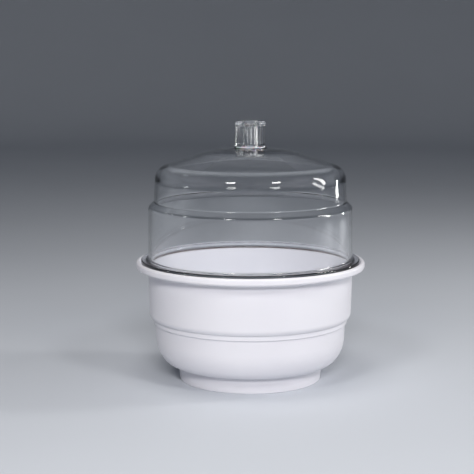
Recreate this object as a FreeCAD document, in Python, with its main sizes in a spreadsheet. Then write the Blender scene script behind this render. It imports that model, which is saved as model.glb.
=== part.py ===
"""Laboratory desiccator of the 200 mm size: a white bowl, a clear domed lid and what they hold.

The origin is the centre of the foot ring, on the surface that it stands on, and +Z is up.
All round pieces share the Z axis. Lengths are in millimetres, angles in degrees.
"""
import FreeCAD, Part
import math
import os
import re

import Sketcher

# Driving dimensions: alias, value, meaning. Radii are measured from the Z axis, and heights
# from the surface that the foot stands on.
SIZES = [
    # Bowl: foot and underside
    ("foot_radius", 71.0, "foot ring, outside, where it stands"),
    ("foot_top_radius", 72.0, "foot ring, outside, where it joins the bowl"),
    ("foot_wall", 3.0, "foot ring, thickness"),
    ("foot_height", 16.4, "underside of the bowl's floor"),
    ("foot_rounding", 0.9, "roundings of the ring's standing face"),
    ("foot_fillet", 1.2, "fillets between the ring and the floor"),
    ("bowl_wall", 3.0, "wall and floor of the bowl"),
    ("heel_radius", 83.4, "corner where the floor turns up"),
    ("heel_rounding", 14.5, "rounding of that corner"),
    ("cheek_height", 31.4, "corner where the underside meets the lower wall"),
    ("cheek_rounding", 33.0, "rounding of that corner"),
    # Bowl: walls and the double step between them
    ("lower_wall_radius", 94.3, "lower wall, outside, at its foot"),
    ("lower_wall_top_radius", 95.2, "lower wall, outside, under the step"),
    ("step_height", 57.6, "underside of the step's bead"),
    ("bead_radius", 97.0, "bead of the step, outside"),
    ("bead_top_height", 62.0, "crease between the bead and the upper wall"),
    ("belly_radius", 101.0, "upper wall, outside, at its foot"),
    ("belly_height", 63.6, "corner of the upper wall's foot"),
    ("belly_rounding", 6.9, "rounding of that corner"),
    ("upper_wall_radius", 102.1, "upper wall, outside, under the flange"),
    ("ledge_height", 65.4, "ledge inside the step, which the plate lies on"),
    ("ledge_rounding", 2.6, "hollow rounding behind the ledge"),
    # Bowl: flange and lip
    ("flange_underside", 112.5, "underside of the flange"),
    ("flange_fillet", 3.5, "fillet between the upper wall and the flange"),
    ("land_height", 116.2, "land that carries the seal and the lid"),
    ("lip_radius", 114.1, "lip, outside"),
    ("lip_inner_radius", 109.8, "lip, inside"),
    ("lip_top", 119.8, "top of the lip"),
    ("lip_rounding", 2.4, "outer roundings of the lip"),
    ("lip_inner_rounding", 1.8, "inner rounding of the lip"),
    # Sealing ring
    ("ring_radius", 103.2, "sealing ring, centre line"),
    ("ring_section", 2.6, "sealing ring, diameter of its section"),
    ("ring_rise", 1.4, "height that the ring stands proud of the land"),
    ("running_gap", 0.05, "gap between pieces that bear on each other"),
    ("edge_rounding", 0.6, "moulded edges without a rounding of their own"),
    ("fine_rounding", 0.25, "moulded edges of the knob and the washer"),
    # Lid
    ("lid_wall", 3.0, "wall of the lid"),
    ("lid_flange_radius", 109.2, "flange of the lid"),
    ("lid_flange_thickness", 4.0, "flange of the lid"),
    ("lid_foot_radius", 101.9, "lower wall of the lid, outside, at the flange"),
    ("lid_ledge_radius", 101.4, "lower wall of the lid, outside, at the ledge"),
    ("lid_ledge_height", 173.5, "lower corner of the sloped ledge"),
    ("lid_neck_radius", 95.9, "upper wall of the lid, outside, at the ledge"),
    ("lid_neck_height", 179.2, "upper corner of the sloped ledge"),
    ("lid_ledge_drop", 1.17, "inner corners of the sloped ledge, below the outer ones"),
    ("lid_neck_rounding", 1.8, "roundings where the ledge meets the upper wall"),
    ("lid_ledge_rounding", 4.5, "outer rounding where the ledge meets the lower wall"),
    ("lid_foot_inner_rounding", 2.8, "inner lower edge of the lid, inside the ring"),
    ("lid_foot_fillet", 2.5, "fillet between the flange and the lower wall"),
    ("lid_flange_rounding", 1.2, "upper rounding of the flange"),
    ("shoulder_radius", 94.3, "corner between the upper wall and the roof"),
    ("shoulder_height", 211.4, "corner between the upper wall and the roof"),
    ("shoulder_rounding", 13.5, "rounding of that corner"),
    ("shoulder_inner_rounding", 17.0, "rounding of the corner inside it, where the wall is thicker"),
    ("shoulder_drop", 2.19, "inner corner of the shoulder, below the outer one"),
    ("roof_radius", 38.8, "bend where the roof becomes flatter"),
    ("roof_height", 229.7, "bend where the roof becomes flatter"),
    ("roof_rounding", 73.0, "rounding of that bend"),
    ("roof_inset", 0.6, "inner corner of that bend, nearer the axis than the outer one"),
    ("pad_radius", 16.2, "flat pad that the knob stands on"),
    ("pad_height", 232.4, "top of the pad"),
    ("pad_slope_width", 0.6, "sloped edge of the pad, across"),
    ("pad_slope_drop", 0.75, "sloped edge of the pad, down"),
    ("boss_radius", 14.7, "threaded boss under the roof"),
    ("boss_foot", 223.5, "lower end of the boss"),
    ("boss_fillet", 1.2, "fillet between the boss and the roof"),
    ("boss_drop", 1.05, "corner of that fillet, below the bend of the roof's outside"),
    # Thread that holds the knob
    ("thread_pitch", 3.0, "rise for one turn"),
    ("thread_crest", 10.4, "knob's thread, crest radius"),
    ("thread_root", 8.9, "knob's thread, root radius"),
    ("boss_crest", 9.2, "boss's thread, crest radius"),
    ("boss_root", 10.8, "boss's thread, root radius"),
    ("tooth_tip", 0.9, "width of a tooth at its crest"),
    ("tooth_foot", 2.0, "width of a tooth at its root"),
    ("thread_clearance", 0.2, "between two flanks, along the axis"),
    ("thread_chamfer", 0.9, "height of the chamfers at the thread's ends"),
    ("thread_lead_in", 0.4, "radius of the knob's lower end, more than the thread's root"),
    ("thread_runout", 1.55, "from the washer's ceiling down to the end of the thread's cut"),
    # Knob
    ("collar_radius", 15.5, "collar and head of the knob"),
    ("collar_height", 2.8, "collar of the knob"),
    ("waist_radius", 14.9, "ribbed waist of the knob, over its ribs"),
    ("head_underside", 254.0, "lower edge of the head"),
    ("head_chamfer", 0.5, "slope between the head and the waist"),
    ("head_draft", 0.1, "head, narrower at its lower edge"),
    ("knob_top", 259.6, "top of the knob"),
    ("knob_crown", 0.9, "rise of the knob's top from its rim to its centre"),
    ("head_rounding", 4.0, "rounding of the head"),
    ("core_radius", 5.75, "hollow core of the knob"),
    ("core_top", 257.1, "top of the hollow core"),
    ("core_draft", 0.3, "core, narrower at its top"),
    ("core_rounding", 5.4, "domed top of the core"),
    ("neck_width", 3.0, "plain neck between the collar and the thread"),
    ("neck_undercut", 0.15, "radius of the neck, less than the thread's root"),
    ("rib_count", 24, "ribs round the waist"),
    ("flute_radius", 1.35, "round groove between two ribs"),
    ("flute_depth", 0.85, "depth of that groove"),
    # Washer under the knob
    ("washer_outer", 14.1, "washer, outside"),
    ("washer_inner", 11.0, "washer, inside"),
    ("washer_thickness", 0.95, "washer"),
    ("washer_side_gap", 0.1, "between the washer and its recess"),
    ("washer_rounding", 0.2, "edges of the washer"),
    # Perforated plate
    ("plate_radius", 95.2, "perforated plate"),
    ("plate_thickness", 3.0, "perforated plate"),
    ("plate_rim_width", 2.8, "raised rim of the plate"),
    ("plate_rim_rise", 1.6, "raised rim of the plate, above its face"),
    ("plate_skirt_radius", 91.6, "ring rib that keeps the plate central, outside"),
    ("plate_rib_depth", 4.0, "ribs under the plate"),
    ("plate_rib_width", 2.0, "ribs under the plate"),
    ("finger_hole_radius", 12.0, "centre hole, which a finger lifts the plate by"),
    ("hub_radius", 15.0, "collar round the centre hole"),
    ("hub_rise", 1.0, "collar round the centre hole, above the plate's face"),
    ("hole_radius", 4.6, "air holes of the plate"),
    ("hole_ring_start", 25.0, "radius of the innermost ring of holes"),
    ("hole_ring_step", 14.6, "from one ring of holes to the next"),
    # Charge of silica gel
    ("gel_gap", 1.0, "between the bed and the bowl's wall"),
    ("gel_edge_height", 39.5, "top of the bed at its edge"),
    ("gel_crown_height", 41.0, "top of the bed at its centre"),
    ("gel_rounding", 18.0, "rounding of the bed's side"),
]
SPOKES = 6                     # radial ribs of the plate; each ring of holes has a multiple of it
HOLE_RINGS = 5
SHEET = "Sizes"

# Expressions that several pieces share
HEEL_TURN = "atan((cheek_height - foot_height) / (lower_wall_radius - heel_radius))"
LID_SEAT = "(land_height + ring_rise + running_gap)"
WASHER_SEAT = "(pad_height + running_gap)"
WASHER_CEILING = "(pad_height + 2 * running_gap + washer_thickness)"
PLATE_SEAT = "(ledge_height + running_gap)"

ALIASES = {alias for alias, _, _ in SIZES}


def bound(expression):
    """The expression with each driving dimension named as a cell of the sheet."""
    return re.sub(r"[a-z_]+", lambda word: f"{SHEET}.{word[0]}" if word[0] in ALIASES else word[0],
                  str(expression))


class Model:
    """The document, its sheet of sizes and the helpers that bind features to the sheet."""

    def __init__(self, name):
        self.doc = FreeCAD.newDocument(name)
        self.sheet = self.doc.addObject("Spreadsheet::Sheet", SHEET)
        for row, (alias, value, meaning) in enumerate(SIZES, start=1):
            self.sheet.set(f"A{row}", alias)
            self.sheet.set(f"B{row}", str(value))
            self.sheet.set(f"C{row}", meaning)
            self.sheet.setAlias(f"B{row}", alias)
        self.doc.recompute()
        self.pieces = []

    def size(self, expression):
        """The value of an expression in the driving dimensions."""
        return float(self.pieces[-1].evalExpression(bound(expression)))

    def add_piece(self, kind, label):
        """A new body or solid of the assembly, which size() reads its expressions on."""
        piece = self.doc.addObject(kind, label)
        piece.Label = label
        self.pieces.append(piece)
        return piece

    def bind(self, feature, **expressions):
        """Binds properties of the feature; a double underscore stands for a dot in a property's path."""
        for prop, expression in expressions.items():
            feature.setExpression(prop.replace("__", "."), bound(expression))

    def sketch_on(self, body, name, role, height="0"):
        """An empty sketch on one of the body's origin planes, lifted by height along its normal."""
        sketch = body.newObject("Sketcher::SketchObject", name)
        plane = next(item for item in body.Origin.OriginFeatures if item.Role == role)
        sketch.AttachmentSupport = [(plane, "")]
        sketch.MapMode = "FlatFace"
        self.bind(sketch, AttachmentOffset__Base__z=height)
        return sketch

    def hold(self, sketch, kind, where, expression):
        """A dimension of the sketch, bound to an expression."""
        index = sketch.addConstraint(Sketcher.Constraint(kind, *where, self.size(expression)))
        name = f"{kind.lower()}_{index}"
        sketch.renameConstraint(index, name)
        sketch.setExpression(f"Constraints.{name}", bound(expression))

    def place_point(self, sketch, geometry, end, x, y):
        """Holds a point of the sketch at (x, y); a point on the vertical axis is tied to it."""
        if x == "0":
            sketch.addConstraint(Sketcher.Constraint("PointOnObject", geometry, end, -2))
        else:
            self.hold(sketch, "DistanceX", (geometry, end), x)
        self.hold(sketch, "DistanceY", (geometry, end), y)

    def outline(self, sketch, corners):
        """A closed outline of straight runs. A corner is (x, y) or (x, y, rounding)."""
        spots = [FreeCAD.Vector(self.size(corner[0]), self.size(corner[1]), 0) for corner in corners]
        count = len(corners)
        arrive, leave, arcs = [], [], {}
        for i, spot in enumerate(spots):
            if len(corners[i]) == 2:
                arrive.append(spot)
                leave.append(spot)
                continue
            back = (spots[i - 1] - spot).normalize()
            ahead = (spots[(i + 1) % count] - spot).normalize()
            half = back.getAngle(ahead) / 2
            radius = self.size(corners[i][2])
            centre = spot + (back + ahead).normalize() * (radius / math.sin(half))
            arrive.append(spot + back * (radius / math.tan(half)))
            leave.append(spot + ahead * (radius / math.tan(half)))
            arcs[i] = (centre, radius, ahead.cross(back).z > 0)
        runs = [sketch.addGeometry(Part.LineSegment(leave[i], arrive[(i + 1) % count]), False)
                for i in range(count)]
        for i, corner in enumerate(corners):
            before, after = runs[i - 1], runs[i]
            if i not in arcs:
                sketch.addConstraint(Sketcher.Constraint("Coincident", before, 2, after, 1))
                self.place_point(sketch, after, 1, corner[0], corner[1])
                continue
            centre, radius, turns_left = arcs[i]
            first, last = (arrive[i], leave[i]) if turns_left else (leave[i], arrive[i])
            angles = [math.atan2(point.y - centre.y, point.x - centre.x) for point in (first, last)]
            circle = Part.Circle(centre, FreeCAD.Vector(0, 0, 1), radius)
            arc = sketch.addGeometry(Part.ArcOfCircle(circle, *angles), False)
            corner_point = sketch.addGeometry(Part.Point(spots[i]), True)
            arc_in, arc_out = (1, 2) if turns_left else (2, 1)
            sketch.addConstraint([
                Sketcher.Constraint("Tangent", before, 2, arc, arc_in),
                Sketcher.Constraint("Tangent", arc, arc_out, after, 1),
                Sketcher.Constraint("PointOnObject", corner_point, 1, before),
                Sketcher.Constraint("PointOnObject", corner_point, 1, after),
            ])
            self.hold(sketch, "Radius", (arc,), corner[2])
            self.place_point(sketch, corner_point, 1, corner[0], corner[1])

    def turned(self, body, name, corners, kind="Revolution"):
        """A full turn of an outline round the Z axis, added or (kind Groove) cut away."""
        sketch = self.sketch_on(body, f"{name}_outline", "XZ_Plane")
        self.outline(sketch, corners)
        feature = body.newObject(f"PartDesign::{kind}", name)
        feature.Profile = sketch
        feature.ReferenceAxis = (sketch, ["V_Axis"])
        feature.Angle = 360
        sketch.Visibility = False
        self.doc.recompute()
        return feature

    def patterned(self, body, feature, name, count):
        """The feature repeated evenly round the Z axis."""
        pattern = body.newObject("PartDesign::PolarPattern", name)
        pattern.Originals = [feature]
        axis = next(item for item in body.Origin.OriginFeatures if item.Role == "Z_Axis")
        pattern.Axis = (axis, [""])
        pattern.Angle = 360
        self.bind(pattern, Occurrences=count)
        body.Tip = pattern
        self.doc.recompute()
        return pattern

    def helix(self, body, name, tooth, height):
        """A right-handed helical cut of the tooth outline, which starts at the outline."""
        sketch = self.sketch_on(body, f"{name}_outline", "XZ_Plane")
        self.outline(sketch, tooth)
        cut = body.newObject("PartDesign::SubtractiveHelix", name)
        cut.Profile = sketch
        cut.ReferenceAxis = (sketch, ["V_Axis"])
        cut.Mode = "pitch-height-angle"
        self.bind(cut, Pitch="thread_pitch", Height=height)
        cut.LeftHanded = False
        sketch.Visibility = False
        self.doc.recompute()
        return cut

    def round_bar(self, body, name, centre, radius, height, length, kind="Pocket"):
        """A round bar along Z, centred on (x, y), cut (or added) from height down (or up)."""
        sketch = self.sketch_on(body, f"{name}_outline", "XY_Plane", height)
        spot = FreeCAD.Vector(self.size(centre[0]), self.size(centre[1]), 0)
        circle = sketch.addGeometry(Part.Circle(spot, FreeCAD.Vector(0, 0, 1), self.size(radius)), False)
        self.hold(sketch, "Radius", (circle,), radius)
        self.place_point(sketch, circle, 3, *centre)
        return self.extruded(body, name, sketch, length, kind)

    def extruded(self, body, name, sketch, length, kind):
        """A Pad upwards from the sketch, or a Pocket downwards from it."""
        feature = body.newObject(f"PartDesign::{kind}", name)
        feature.Profile = sketch
        self.bind(feature, Length=length)
        sketch.Visibility = False
        self.doc.recompute()
        return feature


def must_shrink(body, before, name):
    """A cut that points away from the solid removes nothing and raises nothing."""
    if body.Shape.Volume > before - 1:
        raise RuntimeError(f"{name} removed nothing")


def base_bowl(model):
    """White bowl, turned from one outline, with a groove for the sealing ring in its land."""
    body = model.add_piece("PartDesign::Body", "base_bowl")
    model.turned(body, "bowl", [
        ("0", "foot_height"),
        ("foot_top_radius - foot_wall", "foot_height", "foot_fillet"),
        ("foot_radius - foot_wall", "0", "foot_rounding"),
        ("foot_radius", "0", "foot_rounding"),
        ("foot_top_radius", "foot_height", "foot_fillet"),
        ("heel_radius", "foot_height", "heel_rounding"),
        ("lower_wall_radius", "cheek_height", "cheek_rounding"),
        ("lower_wall_top_radius", "step_height", "edge_rounding"),
        ("bead_radius", "step_height", "edge_rounding"),
        ("bead_radius", "bead_top_height"),
        ("belly_radius", "belly_height", "belly_rounding"),
        ("upper_wall_radius", "flange_underside", "flange_fillet"),
        ("lip_radius", "flange_underside", "lip_rounding"),
        ("lip_radius", "lip_top", "lip_rounding"),
        ("lip_inner_radius", "lip_top", "lip_inner_rounding"),
        ("lip_inner_radius", "land_height", "edge_rounding"),
        ("upper_wall_radius - bowl_wall", "land_height", "edge_rounding"),
        ("belly_radius - bowl_wall", "ledge_height", "ledge_rounding"),
        ("lower_wall_top_radius - bowl_wall", "ledge_height", "edge_rounding"),
        ("lower_wall_radius - bowl_wall", f"cheek_height + bowl_wall * tan((90 deg - {HEEL_TURN}) / 2)",
         "cheek_rounding - bowl_wall"),
        (f"heel_radius - bowl_wall * tan({HEEL_TURN} / 2)", "foot_height + bowl_wall",
         "heel_rounding - bowl_wall"),
        ("0", "foot_height + bowl_wall"),
    ])
    before = body.Shape.Volume
    groove_half = "(ring_section / 2 + running_gap)"
    groove_floor = "land_height + ring_rise - ring_section - running_gap"
    model.turned(body, "ring_groove", [
        (f"ring_radius - {groove_half}", groove_floor),
        (f"ring_radius + {groove_half}", groove_floor),
        (f"ring_radius + {groove_half}", "lip_top"),
        (f"ring_radius - {groove_half}", "lip_top"),
    ], kind="Groove")
    must_shrink(body, before, "ring_groove")


def sealing_ring(model):
    """Plain O-ring that stands proud of the land, so the lid bears on it alone."""
    ring = model.add_piece("Part::Torus", "sealing_ring")
    model.bind(ring, Radius1="ring_radius", Radius2="ring_section / 2",
               Placement__Base__z="land_height + ring_rise - ring_section / 2")
    model.doc.recompute()


def half_tooth(radius):
    """Half the width of the knob's tooth at a radius; its flanks are straight."""
    slope = "(tooth_foot - tooth_tip) / 2 / (thread_crest - thread_root)"
    return f"(tooth_foot / 2 - {slope} * ({radius} - thread_root))"


def thread_groove(near, far, half_width, height):
    """Outline of a thread's groove from radius near to radius far, centred on a height."""
    return [(near, f"{height} - {half_width(near)}"), (far, f"{height} - {half_width(far)}"),
            (far, f"{height} + {half_width(far)}"), (near, f"{height} + {half_width(near)}")]


def lid_dome(model):
    """Clear lid: flange, two walls with a sloped ledge between them, roof and threaded boss."""
    body = model.add_piece("PartDesign::Body", "lid_dome")
    flange_top = f"({LID_SEAT} + lid_flange_thickness)"
    model.turned(body, "dome", [
        ("pad_radius", "pad_height", "edge_rounding / 2"),
        ("pad_radius + pad_slope_width", "pad_height - pad_slope_drop", "edge_rounding"),
        ("roof_radius", "roof_height", "roof_rounding"),
        ("shoulder_radius", "shoulder_height", "shoulder_rounding"),
        ("lid_neck_radius", "lid_neck_height", "lid_neck_rounding"),
        ("lid_ledge_radius", "lid_ledge_height", "lid_ledge_rounding"),
        ("lid_foot_radius", flange_top, "lid_foot_fillet"),
        ("lid_flange_radius", flange_top, "lid_flange_rounding"),
        ("lid_flange_radius", LID_SEAT, "edge_rounding"),
        ("lid_foot_radius - lid_wall", LID_SEAT, "lid_foot_inner_rounding"),
        ("lid_ledge_radius - lid_wall", "lid_ledge_height - lid_ledge_drop", "lid_ledge_rounding - lid_wall"),
        ("lid_neck_radius - lid_wall", "lid_neck_height - lid_ledge_drop", "lid_neck_rounding"),
        ("shoulder_radius - lid_wall", "shoulder_height - shoulder_drop", "shoulder_inner_rounding"),
        ("roof_radius - roof_inset", "roof_height - lid_wall", "roof_rounding - lid_wall"),
        ("boss_radius", "roof_height - boss_drop", "boss_fillet"),
        ("boss_radius", "boss_foot", "edge_rounding"),
        ("boss_crest", "boss_foot", "edge_rounding"),
        ("boss_crest", "pad_height", "edge_rounding"),
    ])
    before = body.Shape.Volume
    groove = thread_groove("boss_root", "(boss_crest - edge_rounding)",
                           lambda radius: f"({half_tooth(radius)} + thread_clearance)",
                           "boss_foot - thread_pitch")
    model.helix(body, "boss_thread", groove, "pad_height - boss_foot + 2 * thread_pitch")
    must_shrink(body, before, "boss_thread")


def lid_knob(model):
    """Clear hollow knob: domed head, ribbed waist, collar and a threaded spigot below it."""
    body = model.add_piece("PartDesign::Body", "lid_knob")
    collar_top = f"{WASHER_SEAT} + collar_height"
    waist_top = "(head_underside - head_chamfer)"
    neck_foot = f"{WASHER_CEILING} - neck_width"
    model.turned(body, "knob", [
        ("0", "knob_top"),
        ("collar_radius", "knob_top - knob_crown", "head_rounding"),
        ("collar_radius - head_draft", "head_underside", "fine_rounding"),
        ("waist_radius", waist_top),
        ("waist_radius", collar_top, "fine_rounding"),
        ("collar_radius", collar_top, "fine_rounding"),
        ("collar_radius", WASHER_SEAT, "fine_rounding"),
        ("washer_outer + washer_side_gap", WASHER_SEAT),
        ("washer_outer + washer_side_gap", WASHER_CEILING),
        ("thread_root - neck_undercut", WASHER_CEILING),
        ("thread_root - neck_undercut", neck_foot),
        ("thread_crest", f"{neck_foot} - thread_chamfer"),
        ("thread_crest", "boss_foot + thread_chamfer"),
        ("thread_root + thread_lead_in", "boss_foot"),
        ("core_radius", "boss_foot", "edge_rounding"),
        ("core_radius - core_draft", "core_top", "core_rounding"),
        ("0", "core_top"),
    ])
    before = body.Shape.Volume
    groove_start = "boss_foot - thread_pitch / 2"
    groove = thread_groove("thread_root", "(thread_crest + edge_rounding)",
                           lambda radius: f"(thread_pitch / 2 - {half_tooth(radius)})", groove_start)
    model.helix(body, "spigot_thread", groove, f"{WASHER_CEILING} - thread_runout - ({groove_start})")
    must_shrink(body, before, "spigot_thread")
    before = body.Shape.Volume
    flute = model.round_bar(body, "flute", ("waist_radius - flute_depth + flute_radius", "0"),
                            "flute_radius", waist_top, f"{waist_top} - {collar_top}")
    must_shrink(body, before, "flute")
    model.patterned(body, flute, "flutes", "rib_count")


def knob_seal(model):
    """Flat washer in the recess under the knob's collar."""
    body = model.add_piece("PartDesign::Body", "knob_seal")
    top = f"{WASHER_SEAT} + washer_thickness"
    model.turned(body, "washer", [
        ("washer_inner", WASHER_SEAT, "washer_rounding"),
        ("washer_outer", WASHER_SEAT, "washer_rounding"),
        ("washer_outer", top, "washer_rounding"),
        ("washer_inner", top, "washer_rounding"),
    ])


def perforated_plate(model):
    """White plate with a raised rim, a skirt and spokes below, a finger hole and rings of holes."""
    body = model.add_piece("PartDesign::Body", "perforated_plate")
    top = f"({PLATE_SEAT} + plate_thickness)"
    rib_foot = f"({PLATE_SEAT} - plate_rib_depth)"
    skirt_inner = "plate_skirt_radius - plate_rib_width"
    spoke_start = "hub_radius - plate_rib_width / 2"
    spoke_end = "plate_skirt_radius - plate_rib_width / 2"
    model.turned(body, "disc", [
        ("finger_hole_radius", rib_foot, "edge_rounding"),
        ("hub_radius", rib_foot, "edge_rounding"),
        ("hub_radius", PLATE_SEAT, "edge_rounding"),
        (skirt_inner, PLATE_SEAT, "edge_rounding"),
        (skirt_inner, rib_foot, "edge_rounding"),
        ("plate_skirt_radius", rib_foot, "edge_rounding"),
        ("plate_skirt_radius", PLATE_SEAT),
        ("plate_radius", PLATE_SEAT, "edge_rounding"),
        ("plate_radius", f"{top} + plate_rim_rise", "edge_rounding"),
        ("plate_radius - plate_rim_width", f"{top} + plate_rim_rise", "edge_rounding"),
        ("plate_radius - plate_rim_width - edge_rounding", top, "edge_rounding"),
        ("hub_radius + edge_rounding", top, "edge_rounding"),
        ("hub_radius", f"{top} + hub_rise", "fine_rounding"),
        ("finger_hole_radius", f"{top} + hub_rise", "edge_rounding"),
    ])
    sketch = model.sketch_on(body, "spoke_outline", "XY_Plane", rib_foot)
    model.outline(sketch, [
        (spoke_start, "-plate_rib_width / 2"),
        (spoke_end, "-plate_rib_width / 2"),
        (spoke_end, "plate_rib_width / 2"),
        (spoke_start, "plate_rib_width / 2"),
    ])
    spoke = model.extruded(body, "spoke", sketch, "plate_rib_depth + plate_thickness / 4", "Pad")
    model.patterned(body, spoke, "spokes", SPOKES)
    for ring in range(HOLE_RINGS):
        count = SPOKES * (ring + 1)
        ring_radius = f"(hole_ring_start + {ring} * hole_ring_step)"
        before = body.Shape.Volume
        hole = model.round_bar(body, f"hole_{ring + 1}",
                               (f"{ring_radius} * cos(180 deg / {count})",
                                f"{ring_radius} * sin(180 deg / {count})"),
                               "hole_radius", f"{top} + hub_rise", "plate_thickness + 2 * hub_rise")
        must_shrink(body, before, f"hole_{ring + 1}")
        model.patterned(body, hole, f"holes_{ring + 1}", count)


def silica_gel(model):
    """Bed of drying beads in the well, as one closed solid with a low crown."""
    body = model.add_piece("PartDesign::Body", "silica_gel")
    depth = "(bowl_wall + gel_gap)"
    side = f"lower_wall_radius - {depth}"
    cheek = f"cheek_height + {depth} * tan((90 deg - {HEEL_TURN}) / 2)"
    model.turned(body, "bed", [
        ("0", "foot_height + bowl_wall"),
        (f"heel_radius - {depth} * tan({HEEL_TURN} / 2)", "foot_height + bowl_wall",
         "heel_rounding - bowl_wall"),
        (side, cheek, "gel_rounding"),
        (side, "gel_edge_height"),
        ("0", "gel_crown_height"),
    ])


def write_parts(model):
    """Checks every object, then writes each piece to its own file."""
    model.doc.recompute()
    failed = [item.Name for item in model.doc.Objects if {"Invalid", "Error"} & set(item.State)]
    failed += [item.Name for item in model.doc.Objects
               if item.TypeId == "Sketcher::SketchObject" and not item.FullyConstrained]
    failed += [piece.Label for piece in model.pieces
               if piece.Shape.isNull() or not piece.Shape.isValid() or len(piece.Shape.Solids) != 1]
    if failed:
        raise RuntimeError(f"failed: {failed}")
    os.makedirs("parts", exist_ok=True)
    for piece in model.pieces:
        piece.Shape.exportStep(f"parts/{piece.Label}.step")
        print(f"{piece.Label}: {piece.Shape.Volume / 1000:.1f} cm3")


def main():
    """Builds every piece in its own body, and writes the parts."""
    model = Model("desiccator")
    builders = (base_bowl, sealing_ring, lid_dome, lid_knob, knob_seal, perforated_plate, silica_gel)
    for build in builders:
        build(model)
    write_parts(model)


if __name__ == "__main__":
    main()
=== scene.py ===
"""Laboratory desiccator, 200 mm size: the finished look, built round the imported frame.

Sizes are in millimetres as a drawing gives them, and become metres when a mesh is made. All round
pieces are turned about the Z axis, so an outline lists radii from that axis and heights from the
bench.
"""
import logging
import math
from dataclasses import dataclass, field
from enum import Enum
from typing import Callable, Optional, Sequence

import bpy
import numpy as np
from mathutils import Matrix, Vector


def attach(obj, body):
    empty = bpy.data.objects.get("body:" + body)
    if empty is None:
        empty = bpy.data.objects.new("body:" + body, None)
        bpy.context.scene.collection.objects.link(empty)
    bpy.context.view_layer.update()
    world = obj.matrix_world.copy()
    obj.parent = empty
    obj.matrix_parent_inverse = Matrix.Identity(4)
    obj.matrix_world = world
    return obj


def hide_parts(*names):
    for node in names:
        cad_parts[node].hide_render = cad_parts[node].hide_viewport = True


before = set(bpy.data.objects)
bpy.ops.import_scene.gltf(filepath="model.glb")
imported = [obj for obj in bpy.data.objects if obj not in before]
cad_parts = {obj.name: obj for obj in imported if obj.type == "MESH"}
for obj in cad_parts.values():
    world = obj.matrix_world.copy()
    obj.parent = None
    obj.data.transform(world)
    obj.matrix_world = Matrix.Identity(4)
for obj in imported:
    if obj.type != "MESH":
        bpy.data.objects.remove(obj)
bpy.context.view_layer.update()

MM = 0.001
LOG = logging.getLogger("desiccator")


# ---------------------------------------------------------------------------------------------
# Outlines and turned surfaces
# ---------------------------------------------------------------------------------------------

@dataclass(frozen=True)
class Corner:
    """A corner of an outline: radius and height in mm, and the radius of its rounding."""

    radius: float
    height: float
    rounding: float = 0.0


@dataclass(frozen=True)
class Fineness:
    """How finely outlines and turns are divided."""

    segments: int = 256
    arc_step: float = math.radians(9)
    longest_run: float = 4.0
    edge_loop: float = 0.25


def spread_run(start: np.ndarray, end: np.ndarray, fineness: Fineness) -> np.ndarray:
    """Points strictly between two ends of a straight run.

    A point stands a short edge-loop distance inside each end, so that the shading of a small
    rounding doesn't wash over the run, and the rest are evenly spaced.

    Args:
        start: first end, (radius, height).
        end: second end.
        fineness: how finely the run is divided.

    Returns:
        An array of points, one a row.
    """
    length = float(np.linalg.norm(end - start))
    loop = min(fineness.edge_loop, length / 4)
    if length < 1e-6:
        return np.empty((0, 2))
    count = max(1, math.ceil((length - 2 * loop) / fineness.longest_run))
    along = np.linspace(loop, length - loop, count + 1) / length
    return start + np.outer(along, end - start)


def rounded_outline(corners: Sequence[Corner], fineness: Fineness, closed: bool = True) -> np.ndarray:
    """A polygon whose corners are replaced by tangent arcs.

    For a corner P with unit directions u and v to its neighbours and half angle a between them, an
    arc of radius r starts and ends at r / tan(a) from P along u and v, and its centre lies at
    r / sin(a) from P along u + v.

    Args:
        corners: the polygon's corners in order.
        fineness: how finely arcs and runs are divided.
        closed: whether the last corner joins the first.

    Returns:
        The outline's points, one (radius, height) a row.
    """
    spots = np.array([(corner.radius, corner.height) for corner in corners], float)
    count = len(corners)
    bends = []
    for i, corner in enumerate(corners):
        is_end = not closed and i in (0, count - 1)
        if corner.rounding == 0 or is_end:
            bends.append(spots[i][None])
            continue
        back = spots[i - 1] - spots[i]
        ahead = spots[(i + 1) % count] - spots[i]
        back /= np.linalg.norm(back)
        ahead /= np.linalg.norm(ahead)
        half = math.acos(float(np.clip(back @ ahead, -1, 1))) / 2
        middle = (back + ahead) / np.linalg.norm(back + ahead)
        centre = spots[i] + middle * corner.rounding / math.sin(half)
        ends = [spots[i] + side * corner.rounding / math.tan(half) - centre for side in (back, ahead)]
        first, last = (math.atan2(end[1], end[0]) for end in ends)
        turn = (last - first + math.pi) % (2 * math.pi) - math.pi
        steps = max(4, math.ceil(abs(turn) / fineness.arc_step))
        angles = first + turn * np.linspace(0, 1, steps + 1)
        bends.append(centre + corner.rounding * np.column_stack((np.cos(angles), np.sin(angles))))
    pieces = []
    for i, bend in enumerate(bends):
        pieces.append(bend)
        if i + 1 < count or closed:
            pieces.append(spread_run(bend[-1], bends[(i + 1) % count][0], fineness))
    return np.vstack(pieces)


RadiusRule = Callable[[np.ndarray, np.ndarray, np.ndarray], np.ndarray]


def turned_grid(outline: np.ndarray, segments: int, rule: Optional[RadiusRule] = None) -> np.ndarray:
    """Points of an outline turned about Z.

    The point at outline parameter i and angle t is (r cos t, r sin t, z), where r and z are the
    outline's radius and height at i; a rule may change r from its radius, height and angle.

    Args:
        outline: (radius, height) rows, in mm.
        segments: steps round the turn.
        rule: takes radius, height and angle grids and returns the new radius grid.

    Returns:
        An array of shape (outline points, segments, 3), in mm.
    """
    angle = np.linspace(0, 2 * math.pi, segments, endpoint=False)[None, :]
    radius = np.repeat(outline[:, :1], segments, axis=1)
    height = np.repeat(outline[:, 1:], segments, axis=1)
    angle = np.repeat(angle, len(outline), axis=0)
    if rule is not None:
        radius = rule(radius, height, angle)
    return np.stack((radius * np.cos(angle), radius * np.sin(angle), height), axis=-1)


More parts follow.
